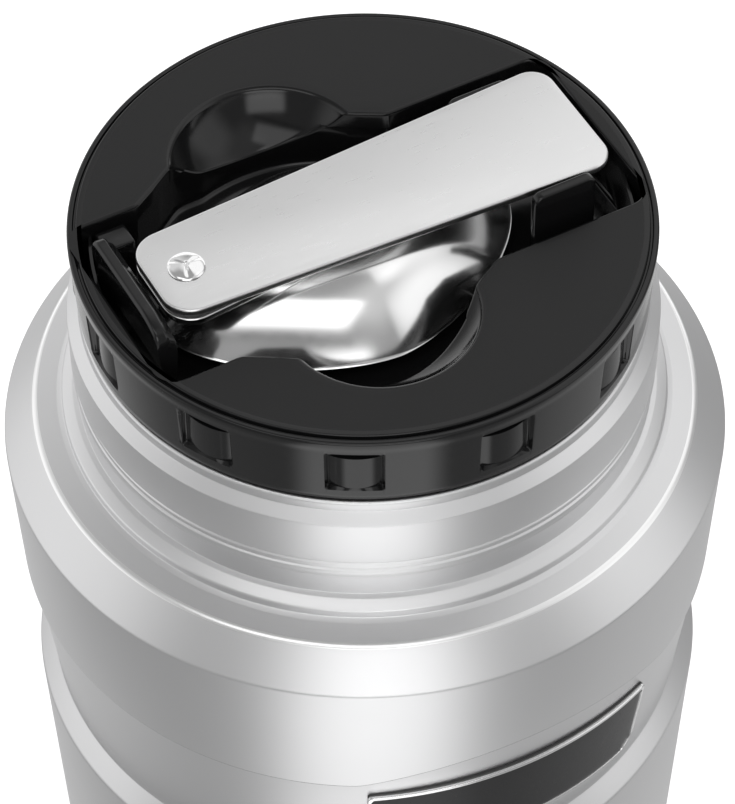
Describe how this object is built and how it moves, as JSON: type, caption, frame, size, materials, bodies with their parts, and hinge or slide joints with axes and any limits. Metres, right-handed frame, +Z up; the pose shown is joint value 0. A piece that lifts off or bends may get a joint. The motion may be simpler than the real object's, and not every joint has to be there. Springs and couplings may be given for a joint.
{
  "type": "insulated food jar",
  "caption": "Wide-mouth double-walled steel food jar with a screw stopper that stores a folding spoon in its top.",
  "frame": {"origin": "centre of the foot ring, on the surface the jar stands on", "axes": "+Z up along the jar's axis; -Y points to the badge; the stored spoon lies along X with its rivet at -X and its free end at +X"},
  "size_m": [0.0965, 0.0964, 0.1382],
  "materials": {
    "satin_steel": "bead-blasted satin, no grain direction",
    "vessel_steel": "electropolished",
    "foil": "bright foil",
    "solder": "dull",
    "badge_steel": "bright border",
    "badge_enamel": "satin dark grey enamel, bare",
    "black_cover": "satin top face, polished recess and skirt",
    "black_plug": "moulded",
    "foam": "closed-cell foam",
    "silicone": "translucent silicone",
    "polished_steel": "mirror polished stainless steel",
    "handle_steel": "fine satin, bare of the maker's name",
    "washer_black": "nylon"
  },
  "bodies": {
    "jar": {"outer_shell": "satin_steel", "inner_vessel": "vessel_steel", "radiation_foil": "foil", "base_plate": "vessel_steel", "vacuum_seal": "solder", "getter": "solder", "bottom_cover": "satin_steel", "badge_plate": "badge_steel", "badge_inlay": "badge_enamel"},
    "seal": {"stopper_gasket": "silicone"},
    "stopper": {"stopper_cover": "black_cover", "plug_body": "black_plug", "plug_foam": "foam"},
    "latch": {"spoon_latch": "black_cover"},
    "spoon": {"spoon_bowl": "polished_steel", "spoon_tang": "polished_steel", "spoon_rivet": "polished_steel", "rivet_washer": "washer_black"},
    "handle": {"spoon_handle": "handle_steel"}
  },
  "joints": [
    {"name": "stopper_lift", "type": "slide", "parent": "jar", "child": "seal", "axis": [0, 0, 1], "range_m": [0, 0.0105]},
    {"name": "stopper_turn", "type": "hinge", "parent": "seal", "child": "stopper", "pos_m": [0, 0, 0.11], "axis": [0, 0, 1], "range_deg": [0, 540]},
    {"name": "latch_flex", "type": "hinge", "parent": "stopper", "child": "latch", "pos_m": [-0.0317, 0, 0.1254], "axis": [0, -1, 0], "range_deg": [0, 3], "stiffness_Nm_per_rad": 0.05},
    {"name": "spoon_lift", "type": "slide", "parent": "stopper", "child": "spoon", "axis": [0, 0, 1], "range_m": [0, 0.06]},
    {"name": "handle_unfold", "type": "hinge", "parent": "spoon", "child": "handle", "pos_m": [-0.0249, 0, 0.1363], "axis": [0, 0, 1], "range_deg": [0, 180]}
  ],
  "couplings": [
    {"joint": "stopper_lift", "follows": "stopper_turn", "m_per_rad": 0.001114},
    {"joint": "handle_unfold", "follows": "spoon_lift", "rad_per_m": 52.35}
  ]
}
